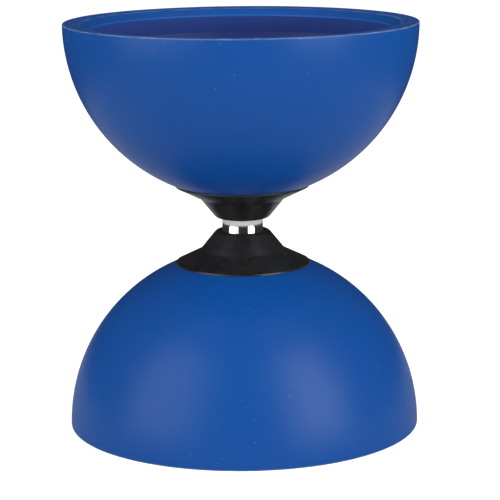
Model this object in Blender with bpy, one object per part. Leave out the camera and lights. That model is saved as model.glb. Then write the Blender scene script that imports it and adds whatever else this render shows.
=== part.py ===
"""A full-size diabolo: two bowl-shaped cups, back to back on an axle whose ring turns on ball bearings.

It stands on the rim of its lower cup. Every piece is turned about one upright axle line, and the
pieces of the lower side are those of the upper side turned over. Lengths are in metres, +Z is up,
and profiles are lists of (radius, height above the middle of the axle).
"""

import math

import bmesh
import bpy
from mathutils import Matrix

MM = 0.001

# Overall sizes
CUP_DIAMETER = 120.0 * MM
HEIGHT = 138.4 * MM
POLE_HEIGHT = 9.2 * MM  # from the middle of the axle to where the cup's curve would close

# Cups
CUP_WALL = 4.0 * MM
RIM_FACE_WIDTH = 5.8 * MM
RIM_BEVEL_WIDTH = 2.9 * MM
RIM_BEVEL_DEPTH = 2.8 * MM
RIM_UNDERCUT_DEPTH = 9.0 * MM
SEAT_DIAMETER = 33.0 * MM  # flat inside the base, for the clamp disc

# Hubs
STRING_GAP = 4.4 * MM  # between the end faces of the two hubs
HUB_FACE_WIDTH = 0.45 * MM
HUB_CORNER_WIDTH = 1.6 * MM
HUB_CORNER_DEPTH = 0.78 * MM
HUB_CORNER_TURN = math.radians(51)  # from the end face to the cone
HUB_RIDGE_DIAMETER = 29.0 * MM
HUB_RIDGE_HEIGHT = 9.0 * MM
HUB_FLANGE_DIAMETER = 45.8 * MM
HUB_FLANGE_EDGE = 0.55 * MM
HUB_BARREL_DIAMETER = 19.0 * MM

# Axle: stud, bearings and the ring the string runs on
STUD_DIAMETER = 6.0 * MM
STUD_PROJECTION = 1.6 * MM
STUD_CHAMFER = 0.6 * MM
BEARING_DIAMETER = 12.0 * MM
BEARING_WIDTH = 4.0 * MM
BEARING_SPACING = 1.0 * MM
ROLLER_WALL = 1.25 * MM
ROLLER_WAIST_DEPTH = 0.35 * MM
ROLLER_LAND = 2.0 * MM  # straight stretch at each end of the ring
BALL_SHARE = 0.265  # ball radius over the bearing's section, from stud to ring
SHOULDER_SHARE = 0.2  # from the pitch circle to each race's shoulder, over the section
RACE_GROOVE_CLEARANCE = 0.07 * MM
SHIELD_THICKNESS = 0.2 * MM
SHIELD_INSET = 0.1 * MM
CAGE_WALL = 0.45 * MM
CAGE_WEB = 0.34 * MM  # above and below a ball pocket
CAGE_POCKET_CLEARANCE = 0.07 * MM
BALLS_PER_BEARING = 8

# Fastening of each side
BUSH_WALL = 1.2 * MM
BUSH_FLANGE_DIAMETER = 12.0 * MM
BUSH_FLANGE_THICKNESS = 1.0 * MM
BUSH_NOSE_WALL = 0.75 * MM
DISC_THICKNESS = 3.0 * MM
DISC_CHAMFER = 0.8 * MM
DISC_RECESS_DEPTH = 0.5 * MM
WASHER_DIAMETER = 18.0 * MM
WASHER_THICKNESS = 1.6 * MM
NUT_WALL = 2.0 * MM  # from the stud to one flat
NUT_HEX_HEIGHT = 4.4 * MM
NUT_COLLAR_WALL = 1.65 * MM
NUT_COLLAR_HEIGHT = 1.6 * MM
NUT_LIP_THICKNESS = 0.3 * MM
NUT_LIP_OVERHANG = 0.55 * MM
INSERT_WALL = 0.95 * MM
INSERT_HEIGHT = 1.25 * MM

# Clearances
SEAT_GAP = 0.04 * MM  # between faces that are clamped together
FIT_GAP = 0.05 * MM  # on the radius of a close fit
RUNNING_GAP = 0.3 * MM  # on the radius of the ring's end in its hub
END_GAP = 0.5 * MM  # between the ring's end and the floor of its hub
CLAMP_RELIEF = 0.15 * MM  # a sleeve ends this short of what clamps it
SEAT_EDGE_CLEARANCE = 0.5 * MM
WASHER_CLEARANCE = 0.2 * MM

# Smoothness
LARGE_STEPS = 40
SMALL_STEPS = 24
BALL_SUBDIVISIONS = 2
POCKET_STEPS = 12
CUP_ARC_STEPS = 11
FLANGE_ARC_STEPS = 4
INNER_ARC_STEPS = 8
WAIST_STEPS = 4
CORNER_STEPS = 3
GROOVE_STEPS = 4
SMOOTH_ANGLE = math.radians(32)
MERGE_DISTANCE = 1e-7

# Derived radii
CUP_RADIUS = CUP_DIAMETER / 2
SEAT_RADIUS = SEAT_DIAMETER / 2
STUD_RADIUS = STUD_DIAMETER / 2
STUD_BORE = STUD_RADIUS + FIT_GAP
BEARING_RADIUS = BEARING_DIAMETER / 2
ROLLER_BORE = BEARING_RADIUS + FIT_GAP
ROLLER_RADIUS = ROLLER_BORE + ROLLER_WALL
COUNTERBORE = ROLLER_RADIUS + RUNNING_GAP
PITCH_RADIUS = (STUD_RADIUS + BEARING_RADIUS) / 2
BEARING_SECTION = BEARING_RADIUS - STUD_RADIUS
BALL_RADIUS = BALL_SHARE * BEARING_SECTION
RACE_SHOULDER = SHOULDER_SHARE * BEARING_SECTION
GROOVE_RADIUS = BALL_RADIUS + RACE_GROOVE_CLEARANCE
POCKET_RADIUS = BALL_RADIUS + CAGE_POCKET_CLEARANCE
FLAT_RADIUS = STUD_RADIUS + NUT_WALL
NUT_CORNER = FLAT_RADIUS / math.cos(math.radians(30))
BUSH_RADIUS = STUD_BORE + BUSH_WALL
BARREL_RADIUS = HUB_BARREL_DIAMETER / 2
WASHER_RADIUS = WASHER_DIAMETER / 2
DISC_RADIUS = SEAT_RADIUS - SEAT_EDGE_CLEARANCE

# Derived heights above the middle of the axle
RIM_HEIGHT = HEIGHT / 2
CUP_DEPTH = RIM_HEIGHT - POLE_HEIGHT
BEARING_START = BEARING_SPACING / 2
BEARING_END = BEARING_START + BEARING_WIDTH
BEARING_MIDDLE = (BEARING_START + BEARING_END) / 2
HUB_FLOOR = BEARING_END + END_GAP
BUSH_FLANGE_START = HUB_FLOOR - SEAT_GAP
BUSH_FLANGE_END = BUSH_FLANGE_START + BUSH_FLANGE_THICKNESS


def outer_height(radius):
    """Height of the cup's outside at this radius."""
    return RIM_HEIGHT - CUP_DEPTH * math.sqrt(1 - (radius / CUP_RADIUS) ** 2)


def inner_height(radius):
    """Height of the cup's inside at this radius."""
    share = radius / (CUP_RADIUS - CUP_WALL)
    return RIM_HEIGHT - (CUP_DEPTH - CUP_WALL) * math.sqrt(1 - share**2)


def steps_between(start, end, count):
    """Evenly spaced values from start to end, both included."""
    return [start + (end - start) * step / count for step in range(count + 1)]


SEAT_HEIGHT = inner_height(SEAT_RADIUS)
DISC_START = SEAT_HEIGHT + SEAT_GAP
DISC_END = DISC_START + DISC_THICKNESS
WASHER_START = DISC_END - DISC_RECESS_DEPTH + SEAT_GAP
WASHER_END = WASHER_START + WASHER_THICKNESS
NUT_START = WASHER_END + SEAT_GAP
NUT_SHOULDER = NUT_START + NUT_HEX_HEIGHT
NUT_END = NUT_SHOULDER + NUT_COLLAR_HEIGHT


def cup_profile():
    hole = BARREL_RADIUS + FIT_GAP
    under_flange = steps_between(BARREL_RADIUS, HUB_FLANGE_DIAMETER / 2, FLANGE_ARC_STEPS)
    profile = [(hole, outer_height(hole))]
    profile += [(radius, outer_height(radius)) for radius in under_flange[1:]]
    flange_angle = math.asin(HUB_FLANGE_DIAMETER / CUP_DIAMETER)
    for angle in steps_between(flange_angle, math.pi / 2, CUP_ARC_STEPS)[1:]:
        profile.append((CUP_RADIUS * math.sin(angle), RIM_HEIGHT - CUP_DEPTH * math.cos(angle)))
    edge = CUP_RADIUS - RIM_FACE_WIDTH
    profile.append((edge, RIM_HEIGHT))
    profile.append((edge - RIM_BEVEL_WIDTH, RIM_HEIGHT - RIM_BEVEL_DEPTH))
    inner_radius = CUP_RADIUS - CUP_WALL
    inner_depth = CUP_DEPTH - CUP_WALL
    start = math.acos(RIM_UNDERCUT_DEPTH / inner_depth)
    end = math.asin(SEAT_RADIUS / inner_radius)
    for angle in steps_between(start, end, INNER_ARC_STEPS):
        profile.append((inner_radius * math.sin(angle), RIM_HEIGHT - inner_depth * math.cos(angle)))
    profile.append((hole, SEAT_HEIGHT))
    return profile


def hub_profile():
    face = STRING_GAP / 2
    corner = COUNTERBORE + HUB_FACE_WIDTH
    flange = HUB_FLANGE_DIAMETER / 2
    bore = BUSH_RADIUS + FIT_GAP
    pocket = BUSH_FLANGE_DIAMETER / 2 + FIT_GAP
    pocket_height = BUSH_FLANGE_END + SEAT_GAP
    barrel_end = SEAT_HEIGHT - CLAMP_RELIEF
    profile = [(COUNTERBORE, face)]
    for turn in steps_between(0, HUB_CORNER_TURN, CORNER_STEPS):
        across = math.sin(turn) / math.sin(HUB_CORNER_TURN)
        rise = (1 - math.cos(turn)) / (1 - math.cos(HUB_CORNER_TURN))
        profile.append((corner + HUB_CORNER_WIDTH * across, face + HUB_CORNER_DEPTH * rise))
    profile.append((HUB_RIDGE_DIAMETER / 2, HUB_RIDGE_HEIGHT))
    profile.append((flange, outer_height(flange) - HUB_FLANGE_EDGE - SEAT_GAP))
    for radius in steps_between(flange, BARREL_RADIUS, FLANGE_ARC_STEPS):
        profile.append((radius, outer_height(radius) - SEAT_GAP))
    profile.append((BARREL_RADIUS, barrel_end))
    profile.append((bore, barrel_end))
    profile.append((bore, pocket_height))
    profile.append((pocket, pocket_height))
    profile.append((pocket, HUB_FLOOR))
    profile.append((COUNTERBORE, HUB_FLOOR))
    return profile


def bush_profile():
    nose = STUD_BORE + BUSH_NOSE_WALL
    nose_height = BEARING_END + SEAT_GAP
    tube_end = WASHER_START - CLAMP_RELIEF
    flange = BUSH_FLANGE_DIAMETER / 2
    return [
        (STUD_BORE, nose_height),
        (nose, nose_height),
        (nose, BUSH_FLANGE_START),
        (flange, BUSH_FLANGE_START),
        (flange, BUSH_FLANGE_END),
        (BUSH_RADIUS, BUSH_FLANGE_END),
        (BUSH_RADIUS, tube_end),
        (STUD_BORE, tube_end),
    ]


def disc_profile():
    bore = BUSH_RADIUS + FIT_GAP
    recess = WASHER_RADIUS + WASHER_CLEARANCE
    recess_height = DISC_END - DISC_RECESS_DEPTH
    return [
        (bore, DISC_START),
        (DISC_RADIUS, DISC_START),
        (DISC_RADIUS, DISC_END - DISC_CHAMFER),
        (DISC_RADIUS - DISC_CHAMFER, DISC_END),
        (recess, DISC_END),
        (recess, recess_height),
        (bore, recess_height),
    ]


def washer_profile():
    bore = STUD_BORE + WASHER_CLEARANCE
    return ring_profile(bore, WASHER_RADIUS, WASHER_START, WASHER_END)


def ring_profile(inner, outer, start, end):
    return [(inner, start), (outer, start), (outer, end), (inner, end)]


def nut_profile():
    """Turned blank of the nut; a hexagon cuts its flats afterwards."""
    corner = NUT_CORNER + FIT_GAP
    chamfer_height = (corner - FLAT_RADIUS) * math.tan(math.radians(30))
    collar = STUD_BORE + NUT_COLLAR_WALL
    pocket = STUD_BORE + INSERT_WALL + FIT_GAP
    pocket_end = NUT_END - NUT_LIP_THICKNESS
    pocket_start = pocket_end - INSERT_HEIGHT - 2 * SEAT_GAP
    lip = pocket - NUT_LIP_OVERHANG
    return [
        (STUD_BORE, NUT_START),
        (FLAT_RADIUS, NUT_START),
        (corner, NUT_START + chamfer_height),
        (corner, NUT_SHOULDER - chamfer_height),
        (FLAT_RADIUS, NUT_SHOULDER),
        (collar, NUT_SHOULDER),
        (collar, NUT_END),
        (lip, NUT_END),
        (lip, pocket_end),
        (pocket, pocket_end),
        (pocket, pocket_start),
        (STUD_BORE, pocket_start),
    ]


def insert_profile():
    end = NUT_END - NUT_LIP_THICKNESS - SEAT_GAP
    return ring_profile(STUD_BORE, STUD_BORE + INSERT_WALL, end - INSERT_HEIGHT, end)


def stud_profile():
    end = NUT_END + STUD_PROJECTION
    tip = STUD_RADIUS - STUD_CHAMFER
    return [
        (0, -end),
        (tip, -end),
        (STUD_RADIUS, STUD_CHAMFER - end),
        (STUD_RADIUS, end - STUD_CHAMFER),
        (tip, end),
        (0, end),
    ]


def groove_profile(side):
    """Ball groove of a race, from its lower shoulder up: side 1 is the outer race, side -1 the inner."""
    half_angle = math.acos(RACE_SHOULDER / GROOVE_RADIUS)
    profile = []
    for angle in steps_between(-half_angle, half_angle, GROOVE_STEPS):
        radius = PITCH_RADIUS + side * GROOVE_RADIUS * math.cos(angle)
        profile.append((radius, BEARING_MIDDLE + GROOVE_RADIUS * math.sin(angle)))
    return profile


def inner_race_profile():
    start = BEARING_START + SEAT_GAP / 2
    shoulder = PITCH_RADIUS - RACE_SHOULDER
    groove = groove_profile(-1)
    return [(STUD_BORE, start), (shoulder, start), *groove, (shoulder, BEARING_END), (STUD_BORE, BEARING_END)]


def outer_race_profile():
    start = BEARING_START + SEAT_GAP / 2
    shoulder = PITCH_RADIUS + RACE_SHOULDER
    recess = shield_radius() + FIT_GAP
    low_recess = start + shield_depth() + SEAT_GAP
    high_recess = BEARING_END - shield_depth() - SEAT_GAP
    return [
        (BEARING_RADIUS, start),
        (BEARING_RADIUS, BEARING_END),
        (recess, BEARING_END),
        (recess, high_recess),
        (shoulder, high_recess),
        *reversed(groove_profile(1)),
        (shoulder, low_recess),
        (recess, low_recess),
        (recess, start),
    ]


def shield_radius():
    return PITCH_RADIUS + RACE_SHOULDER + SHIELD_THICKNESS


def shield_depth():
    """From the end of the races to the inner face of a shield."""
    return SHIELD_INSET + SHIELD_THICKNESS


def shield_profile(start):
    inner = PITCH_RADIUS - RACE_SHOULDER + 2 * FIT_GAP
    return ring_profile(inner, shield_radius(), start, start + SHIELD_THICKNESS)


def cage_profile():
    start = BEARING_MIDDLE - POCKET_RADIUS - CAGE_WEB
    end = BEARING_MIDDLE + POCKET_RADIUS + CAGE_WEB
    return ring_profile(PITCH_RADIUS - CAGE_WALL / 2, PITCH_RADIUS + CAGE_WALL / 2, start, end)


def spacer_profile():
    end = BEARING_START - SEAT_GAP / 2
    return ring_profile(STUD_BORE, STUD_BORE + BUSH_NOSE_WALL, -end, end)


def roller_profile():
    """Waisted ring, with a rib inside that keeps the two bearings apart."""
    rib = shield_radius() + 2 * FIT_GAP
    rib_end = BEARING_START - SEAT_GAP / 2
    waist_end = BEARING_END - ROLLER_LAND
    profile = [(ROLLER_BORE, -BEARING_END), (ROLLER_RADIUS, -BEARING_END)]
    for height in steps_between(-waist_end, waist_end, WAIST_STEPS):
        dip = ROLLER_WAIST_DEPTH * math.cos(math.pi / 2 * height / waist_end)
        profile.append((ROLLER_RADIUS - dip, height))
    profile += [(ROLLER_RADIUS, BEARING_END), (ROLLER_BORE, BEARING_END)]
    profile += [(ROLLER_BORE, rib_end), (rib, rib_end), (rib, -rib_end), (ROLLER_BORE, -rib_end)]
    return profile


def clear_scene():
    for item in list(bpy.data.objects):
        bpy.data.objects.remove(item, do_unlink=True)


def make_material(name, colour, roughness, metallic=0.0):
    material = bpy.data.materials.new(name)
    material.use_nodes = True
    shader = material.node_tree.nodes["Principled BSDF"]
    shader.inputs["Base Color"].default_value = (*colour, 1.0)
    shader.inputs["Roughness"].default_value = roughness
    shader.inputs["Metallic"].default_value = metallic
    return material


def finish_mesh(shape, name, material):
    """Turns a bmesh into a mesh that is smooth except at its edges."""
    bmesh.ops.recalc_face_normals(shape, faces=shape.faces)
    mesh = bpy.data.meshes.new(name)
    shape.to_mesh(mesh)
    shape.free()
    mesh.shade_smooth()
    mesh.set_sharp_from_angle(angle=SMOOTH_ANGLE)
    if material is not None:
        mesh.materials.append(material)
    return mesh


def turned_mesh(name, profile, steps, material):
    """Spins a profile about the axle line. One that starts on the line is left open there."""
    shape = bmesh.new()
    points = [shape.verts.new((radius, 0, height)) for radius, height in profile]
    ends = points[1:]
    if profile[0][0] > 0:
        ends = points[1:] + points[:1]
    edges = [shape.edges.new(pair) for pair in zip(points, ends)]
    bmesh.ops.spin(
        shape,
        geom=points + edges,
        cent=(0, 0, 0),
        axis=(0, 0, 1),
        angle=math.tau,
        steps=steps,
        use_merge=True,
    )
    bmesh.ops.remove_doubles(shape, verts=shape.verts, dist=MERGE_DISTANCE)
    return finish_mesh(shape, name, material)


def ball_mesh(material):
    shape = bmesh.new()
    bmesh.ops.create_icosphere(shape, subdivisions=BALL_SUBDIVISIONS, radius=BALL_RADIUS)
    return finish_mesh(shape, "ball", material)


def hexagon_mesh():
    """Prism whose sides are the nut's flats."""
    shape = bmesh.new()
    corner = NUT_CORNER
    depth = 2 * (NUT_END - NUT_START)
    bmesh.ops.create_cone(shape, cap_ends=True, segments=6, radius1=corner, radius2=corner, depth=depth)
    bmesh.ops.translate(shape, verts=shape.verts, vec=(0, 0, (NUT_START + NUT_END) / 2))
    return finish_mesh(shape, "hexagon", None)


def place(name, mesh, parent, location=(0, 0, 0), turn=0.0):
    item = bpy.data.objects.new(name, mesh)
    bpy.context.scene.collection.objects.link(item)
    item.parent = parent
    item.location = location
    item.rotation_euler = (0, 0, turn)
    return item


def place_empty(name, parent=None, location=(0, 0, 0), flip=0.0):
    empty = place(name, None, parent, location)
    empty.rotation_euler = (flip, 0, 0)
    return empty


def cut(item, cutter, operation):
    """Adds a Boolean and hides its cutter."""
    cutter.hide_render = True
    cutter.display_type = "WIRE"
    modifier = item.modifiers.new(operation.title(), "BOOLEAN")
    modifier.operation = operation
    modifier.solver = "EXACT"
    modifier.object = cutter


def pocket_mesh():
    """Round plugs lying outwards, which cut the ball pockets of a cage."""
    shape = bmesh.new()
    lay_outwards = Matrix.Rotation(math.pi / 2, 4, "Y")
    move_outwards = Matrix.Translation((PITCH_RADIUS, 0, BEARING_MIDDLE))
    for index in range(BALLS_PER_BEARING):
        around = Matrix.Rotation(ball_angle(index), 4, "Z")
        bmesh.ops.create_cone(
            shape,
            cap_ends=True,
            segments=POCKET_STEPS,
            radius1=POCKET_RADIUS,
            radius2=POCKET_RADIUS,
            depth=3 * CAGE_WALL,
            matrix=around @ move_outwards @ lay_outwards,
        )
    return finish_mesh(shape, "pockets", None)


def ball_angle(index):
    return math.tau * index / BALLS_PER_BEARING


class Diabolo:
    """The materials and the meshes that the two sides share."""

    def __init__(self):
        cup = make_material("cup_rubber", (0.012, 0.076, 0.328), 0.42)
        hub = make_material("hub_nylon", (0.012, 0.012, 0.013), 0.38)
        disc = make_material("disc_nylon", (0.015, 0.015, 0.016), 0.5)
        insert = make_material("insert_nylon", (0.70, 0.72, 0.74), 0.5)
        chrome = make_material("ring_steel", (0.78, 0.79, 0.78), 0.12, 1.0)
        race = make_material("race_steel", (0.62, 0.62, 0.61), 0.2, 1.0)
        ball = make_material("ball_steel", (0.74, 0.74, 0.74), 0.08, 1.0)
        shield = make_material("shield_steel", (0.55, 0.55, 0.54), 0.35, 1.0)
        cage = make_material("cage_brass", (0.60, 0.44, 0.18), 0.35, 1.0)
        bush = make_material("bush_steel", (0.58, 0.58, 0.57), 0.3, 1.0)
        washer = make_material("washer_zinc", (0.60, 0.61, 0.60), 0.35, 1.0)
        nut = make_material("nut_zinc", (0.62, 0.63, 0.61), 0.3, 1.0)
        stud = make_material("stud_zinc", (0.60, 0.60, 0.58), 0.3, 1.0)
        self.side_pieces = {
            "cup": turned_mesh("cup", cup_profile(), LARGE_STEPS, cup),
            "hub": turned_mesh("hub", hub_profile(), LARGE_STEPS, hub),
            "hub_bush": turned_mesh("hub_bush", bush_profile(), SMALL_STEPS, bush),
            "clamp_disc": turned_mesh("clamp_disc", disc_profile(), LARGE_STEPS, disc),
            "load_washer": turned_mesh("load_washer", washer_profile(), SMALL_STEPS, washer),
            "lock_nut": turned_mesh("lock_nut", nut_profile(), SMALL_STEPS, nut),
            "nut_insert": turned_mesh("nut_insert", insert_profile(), SMALL_STEPS, insert),
            "bearing_inner_race": turned_mesh("inner_race", inner_race_profile(), SMALL_STEPS, race),
            "bearing_outer_race": turned_mesh("outer_race", outer_race_profile(), SMALL_STEPS, race),
            "bearing_cage": turned_mesh("cage", cage_profile(), SMALL_STEPS, cage),
        }
        low_shield = BEARING_START + SEAT_GAP / 2 + SHIELD_INSET
        high_shield = BEARING_END - shield_depth()
        for place_name, start in (("inner", low_shield), ("outer", high_shield)):
            mesh = turned_mesh(f"{place_name}_shield", shield_profile(start), SMALL_STEPS, shield)
            self.side_pieces[f"{place_name}_shield"] = mesh
        self.ball = ball_mesh(ball)
        self.pockets = pocket_mesh()
        self.hexagon = hexagon_mesh()
        self.middle_pieces = {
            "axle_stud": turned_mesh("stud", stud_profile(), SMALL_STEPS, stud),
            "race_spacer": turned_mesh("spacer", spacer_profile(), SMALL_STEPS, bush),
            "axle_roller": turned_mesh("roller", roller_profile(), LARGE_STEPS, chrome),
        }

    def place_side(self, side, centre, flip):
        """One side's pieces, on an empty that is turned over for the lower side."""
        half = place_empty(f"{side}_side", centre, flip=flip)
        placed = {}
        for piece, mesh in self.side_pieces.items():
            placed[piece] = place(f"{side}_{piece}", mesh, half)
        cut(placed["lock_nut"], place(f"{side}_hexagon", self.hexagon, half), "INTERSECT")
        cut(placed["bearing_cage"], place(f"{side}_pockets", self.pockets, half), "DIFFERENCE")
        for index in range(BALLS_PER_BEARING):
            angle = ball_angle(index)
            spot = (PITCH_RADIUS * math.cos(angle), PITCH_RADIUS * math.sin(angle), BEARING_MIDDLE)
            place(f"{side}_ball_{index + 1}", self.ball, half, spot, angle)

    def build(self):
        centre = place_empty("axle_centre", location=(0, 0, RIM_HEIGHT))
        self.place_side("upper", centre, 0.0)
        self.place_side("lower", centre, math.pi)
        for piece, mesh in self.middle_pieces.items():
            place(piece, mesh, centre)


clear_scene()
Diabolo().build()
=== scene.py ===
"""The looks of a full-size diabolo: blue moulded cups on black hubs, and a polished ring on ball bearings."""

import logging
import math
from dataclasses import dataclass, field
from enum import Enum
from typing import Optional, Sequence, Union

import bmesh
import bpy
from mathutils import Matrix, Vector


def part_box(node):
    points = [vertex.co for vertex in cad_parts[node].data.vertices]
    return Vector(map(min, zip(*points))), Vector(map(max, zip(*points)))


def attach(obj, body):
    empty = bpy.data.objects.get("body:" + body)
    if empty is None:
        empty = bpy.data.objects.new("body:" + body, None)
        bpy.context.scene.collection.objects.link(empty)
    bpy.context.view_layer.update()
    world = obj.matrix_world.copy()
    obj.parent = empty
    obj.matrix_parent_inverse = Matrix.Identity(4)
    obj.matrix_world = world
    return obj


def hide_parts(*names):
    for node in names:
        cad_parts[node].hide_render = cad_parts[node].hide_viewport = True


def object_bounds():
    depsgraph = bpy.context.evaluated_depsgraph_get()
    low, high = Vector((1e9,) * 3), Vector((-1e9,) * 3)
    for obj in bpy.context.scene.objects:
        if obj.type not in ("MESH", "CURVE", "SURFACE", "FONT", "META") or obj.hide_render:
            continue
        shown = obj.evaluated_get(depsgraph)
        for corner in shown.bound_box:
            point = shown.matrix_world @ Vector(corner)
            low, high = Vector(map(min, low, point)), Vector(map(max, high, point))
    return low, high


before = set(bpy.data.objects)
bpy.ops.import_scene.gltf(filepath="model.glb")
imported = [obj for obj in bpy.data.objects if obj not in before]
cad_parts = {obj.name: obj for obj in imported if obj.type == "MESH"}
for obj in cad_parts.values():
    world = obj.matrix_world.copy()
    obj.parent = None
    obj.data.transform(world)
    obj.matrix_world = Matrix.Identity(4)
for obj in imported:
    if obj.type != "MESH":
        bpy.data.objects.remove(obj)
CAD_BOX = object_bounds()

MM = 0.001
HEIGHT: float = CAD_BOX[1].z
MIDDLE: float = HEIGHT / 2
CUP_RADIUS: float = CAD_BOX[1].x
SAME_POINT = 1e-7
ON_EDGE = 2e-6
ON_PLANE = 1e-8
BALLS = 8
BALL_FINENESS = 4
LOG = logging.getLogger("diabolo")


# ---------------------------------------------------------------- shader maths


class Value:
    """A number on a shader socket, so that shader maths reads as Python expressions."""

    def __init__(self, graph: "Nodes", socket: bpy.types.NodeSocket) -> None:
        """Wraps a socket.

        Args:
            graph: The node tree that the socket belongs to.
            socket: An output socket.
        """
        self.graph = graph
        self.socket = socket

    def maths(self, operation: str, *operands: "Number", clamp: bool = False) -> "Value":
        """Adds one Math node.

        Args:
            operation: The Math node's operation.
            operands: Its inputs, in order.
            clamp: Whether the result is held between 0 and 1.

        Returns:
            The node's result.
        """
        node = self.graph.add("ShaderNodeMath", {"operation": operation, "use_clamp": clamp}, {})
        for index, operand in enumerate(operands):
            self.graph.feed(node.inputs[index], operand)
        return Value(self.graph, node.outputs[0])

    def __add__(self, other: "Number") -> "Value":
        """self + other."""
        return self.maths("ADD", self, other)

    def __radd__(self, other: "Number") -> "Value":
        """other + self."""
        return self.maths("ADD", other, self)

    def __sub__(self, other: "Number") -> "Value":
        """self - other."""
        return self.maths("SUBTRACT", self, other)

    def __rsub__(self, other: "Number") -> "Value":
        """other - self."""
        return self.maths("SUBTRACT", other, self)

    def __mul__(self, other: "Number") -> "Value":
        """self * other."""
        return self.maths("MULTIPLY", self, other)

    def __rmul__(self, other: "Number") -> "Value":
        """other * self."""
        return self.maths("MULTIPLY", other, self)

    def __truediv__(self, other: "Number") -> "Value":
        """self / other."""
        return self.maths("DIVIDE", self, other)

    def __pow__(self, other: "Number") -> "Value":
        """self ** other."""
        return self.maths("POWER", self, other)

    def __abs__(self) -> "Value":
        """abs(self)."""
        return self.maths("ABSOLUTE", self)

    def least(self, other: "Number") -> "Value":
        """The smaller of self and other."""
        return self.maths("MINIMUM", self, other)

    def greatest(self, other: "Number") -> "Value":
        """The larger of self and other."""
        return self.maths("MAXIMUM", self, other)

    def held(self) -> "Value":
        """self, held between 0 and 1."""
        return self.maths("ADD", self, 0.0, clamp=True)

    def sine(self) -> "Value":
        """The sine of self."""
        return self.maths("SINE", self)

    def from_to(self, start: float, end: float) -> "Value":
        """A smooth step.

        Args:
            start: The value that gives 0.
            end: The value that gives 1. It may be below start.

        Returns:
            0 before start, 1 after end and a smooth curve between them.
        """
        settings = {"interpolation_type": "SMOOTHSTEP", "clamp": True}
        low, high = min(start, end), max(start, end)
        inputs = {"Value": self, "From Min": low, "From Max": high}
        rising = Value(self.graph, self.graph.add("ShaderNodeMapRange", settings, inputs).outputs[0])
        return rising if end > start else 1.0 - rising


Number = Union[Value, float]
Colour = tuple[float, float, float]


class Nodes:
    """A node tree that nodes are added to and fed."""

    def __init__(self, tree: bpy.types.NodeTree) -> None:
        """Wraps a node tree.

        Args:
            tree: The tree of a material or a world.
        """
        self.tree = tree

    def add(self, kind: str, settings: dict, inputs: dict) -> bpy.types.Node:
        """Adds a node.

        Args:
            kind: The node's type.
            settings: Its settings, which are set first.
            inputs: What feeds its sockets, by the socket's name or identifier.

        Returns:
            The new node.
        """
        node = self.tree.nodes.new(kind)
        for name, value in settings.items():
            setattr(node, name, value)
        sockets = {socket.name: socket for socket in reversed(node.inputs)}
        sockets.update({socket.identifier: socket for socket in node.inputs})
        for name, value in inputs.items():
            self.feed(sockets[name], value)
        return node

    def feed(self, socket: bpy.types.NodeSocket, value: object) -> None:
        """Links a socket, or sets it.

        Args:
            socket: An input socket.
            value: A Value, an output socket, a number or a colour.
        """
        if isinstance(value, Value):
            value = value.socket
        if isinstance(value, bpy.types.NodeSocket):
            self.tree.links.new(value, socket)
        elif socket.type == "RGBA" and len(value) == 3:
            socket.default_value = (*value, 1.0)
        else:
            socket.default_value = value

    def reading(self, kind: str, output: str) -> Value:
        """Adds a node without settings and takes one of its outputs.

        Args:
            kind: The node's type.
            output: The output's name.

        Returns:
            The output.
        """
        return Value(self, self.add(kind, {}, {}).outputs[output])


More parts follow.
